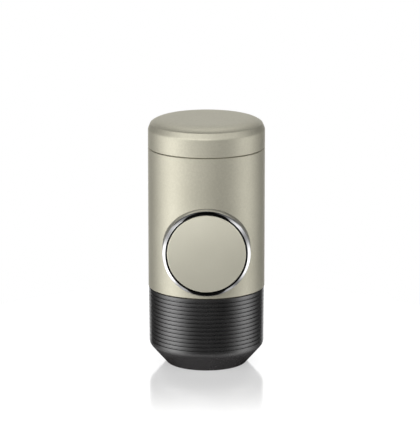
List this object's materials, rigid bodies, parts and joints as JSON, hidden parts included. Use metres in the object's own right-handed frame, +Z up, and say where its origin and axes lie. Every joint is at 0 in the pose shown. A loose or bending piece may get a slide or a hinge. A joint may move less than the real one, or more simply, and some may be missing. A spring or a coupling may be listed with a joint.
{
  "type": "handheld manual espresso maker",
  "caption": "Upright cylindrical manual espresso maker with a satin metal body, a bright-ringed pump knob at the front, a screw cap and a ribbed black water tank as its base.",
  "frame": {"origin": "centre of the tank's flat foot, on the body's axis", "axes": "+Z up along the body's axis, -Y out of the pump knob's face, +X to the right seen from the front"},
  "size_m": [0.06, 0.0662, 0.1286],
  "materials": {
    "champagne_metal": "satin anodised champagne",
    "bright_ring": "polished chrome",
    "black_plastic": "satin black",
    "inner_plastic": "matt black",
    "pump_steel": "brushed stainless steel",
    "pale_plastic": "natural plastic",
    "holder_metal": "satin aluminium",
    "red_silicone": "soft silicone",
    "grey_silicone": "soft silicone"
  },
  "bodies": {
    "main": {"body_shell": "champagne_metal", "bezel_ring": "bright_ring", "inner_frame": "inner_plastic", "pump_bulkhead": "pump_steel", "pump_cylinder": "pump_steel", "cylinder_screws": "pump_steel", "face_seal": "grey_silicone", "valve_block": "pale_plastic", "intake_valve": "red_silicone", "delivery_valve": "red_silicone", "intake_tube": "pale_plastic", "intake_strainer": "inner_plastic", "delivery_tube": "pale_plastic", "tank_collar": "inner_plastic", "tank_o_ring": "grey_silicone", "air_valve": "red_silicone", "collar_screws": "pump_steel", "head_collar": "inner_plastic", "deck_screws": "pump_steel", "injector_plate": "pump_steel", "piercing_needles": "pump_steel", "chamber_gasket": "red_silicone", "stop_pin": "pump_steel", "return_spring": "pump_steel"},
    "piston": {"piston_rod": "pump_steel", "piston_head": "pale_plastic", "piston_seal": "grey_silicone", "rod_clip": "pump_steel"},
    "knob": {"knob_plate": "champagne_metal", "knob_sleeve": "black_plastic"},
    "tank": {"water_tank": "black_plastic"},
    "cap": {"cap_shell": "champagne_metal", "cap_liner": "inner_plastic", "cap_seal": "grey_silicone"},
    "outlet": {"outlet_head": "inner_plastic", "outlet_plate": "pump_steel", "outlet_nozzle": "bright_ring", "head_o_ring": "red_silicone"},
    "holder": {"capsule_holder": "holder_metal"}
  },
  "joints": [
    {"name": "pump_slide", "type": "slide", "parent": "main", "child": "piston", "axis": [0, -1, 0], "range_m": [0, 0.016], "deforming": ["return_spring"]},
    {"name": "knob_turn", "type": "hinge", "parent": "piston", "child": "knob", "pos_m": [0, -0.0336, 0.0653], "axis": [0, -1, 0], "range_deg": [0, 45]},
    {"name": "tank_slide", "type": "slide", "parent": "main", "child": "tank", "axis": [0, 0, -1], "range_m": [0, 0.05]},
    {"name": "cap_slide", "type": "slide", "parent": "main", "child": "cap", "axis": [0, 0, 1], "range_m": [0, 0.075]},
    {"name": "outlet_slide", "type": "slide", "parent": "main", "child": "outlet", "axis": [0, 0, 1], "range_m": [0, 0.05]},
    {"name": "holder_slide", "type": "slide", "parent": "main", "child": "holder", "axis": [0, 0, 1], "range_m": [0, 0.027]}
  ],
  "couplings": [
    {"joint": "outlet_slide", "follows": "cap_slide", "ratio": 0.65},
    {"joint": "holder_slide", "follows": "cap_slide", "ratio": 0.35}
  ]
}
